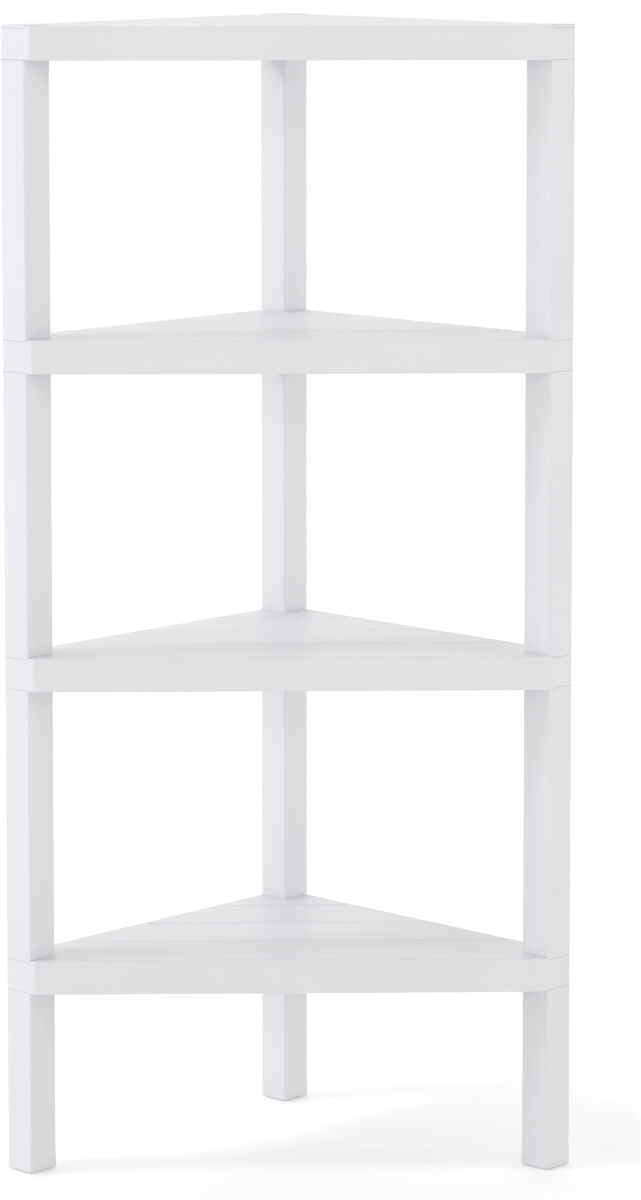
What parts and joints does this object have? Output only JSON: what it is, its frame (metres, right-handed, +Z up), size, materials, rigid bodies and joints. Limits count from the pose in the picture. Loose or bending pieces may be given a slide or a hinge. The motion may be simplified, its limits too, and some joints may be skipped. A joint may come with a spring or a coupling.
{
  "type": "corner shelf unit",
  "caption": "Free standing corner shelf unit: triangular planked shelves whose corner sockets take square plug-in posts, with short legs below and caps on top.",
  "frame": {"origin": "on the floor, in the middle of the footprint's box", "axes": "+Z up, X along the long front edge, +Y from the front edge towards the back corner that goes into the corner of the room"},
  "size_m": [0.6638, 0.3666, 1.35],
  "materials": {
    "white_plastic": "white polypropylene with a fine moulded grain and a soft satin sheen"
  },
  "bodies": {
    "root": {"leg_left": "white_plastic", "leg_right": "white_plastic", "leg_back": "white_plastic", "shelf_bottom": "white_plastic", "post_lower_left": "white_plastic", "post_lower_right": "white_plastic", "post_lower_back": "white_plastic", "shelf_second": "white_plastic", "post_middle_left": "white_plastic", "post_middle_right": "white_plastic", "post_middle_back": "white_plastic", "shelf_third": "white_plastic", "post_upper_left": "white_plastic", "post_upper_right": "white_plastic", "post_upper_back": "white_plastic", "shelf_top": "white_plastic", "cap_left": "white_plastic", "cap_right": "white_plastic", "cap_back": "white_plastic"}
  },
  "joints": []
}
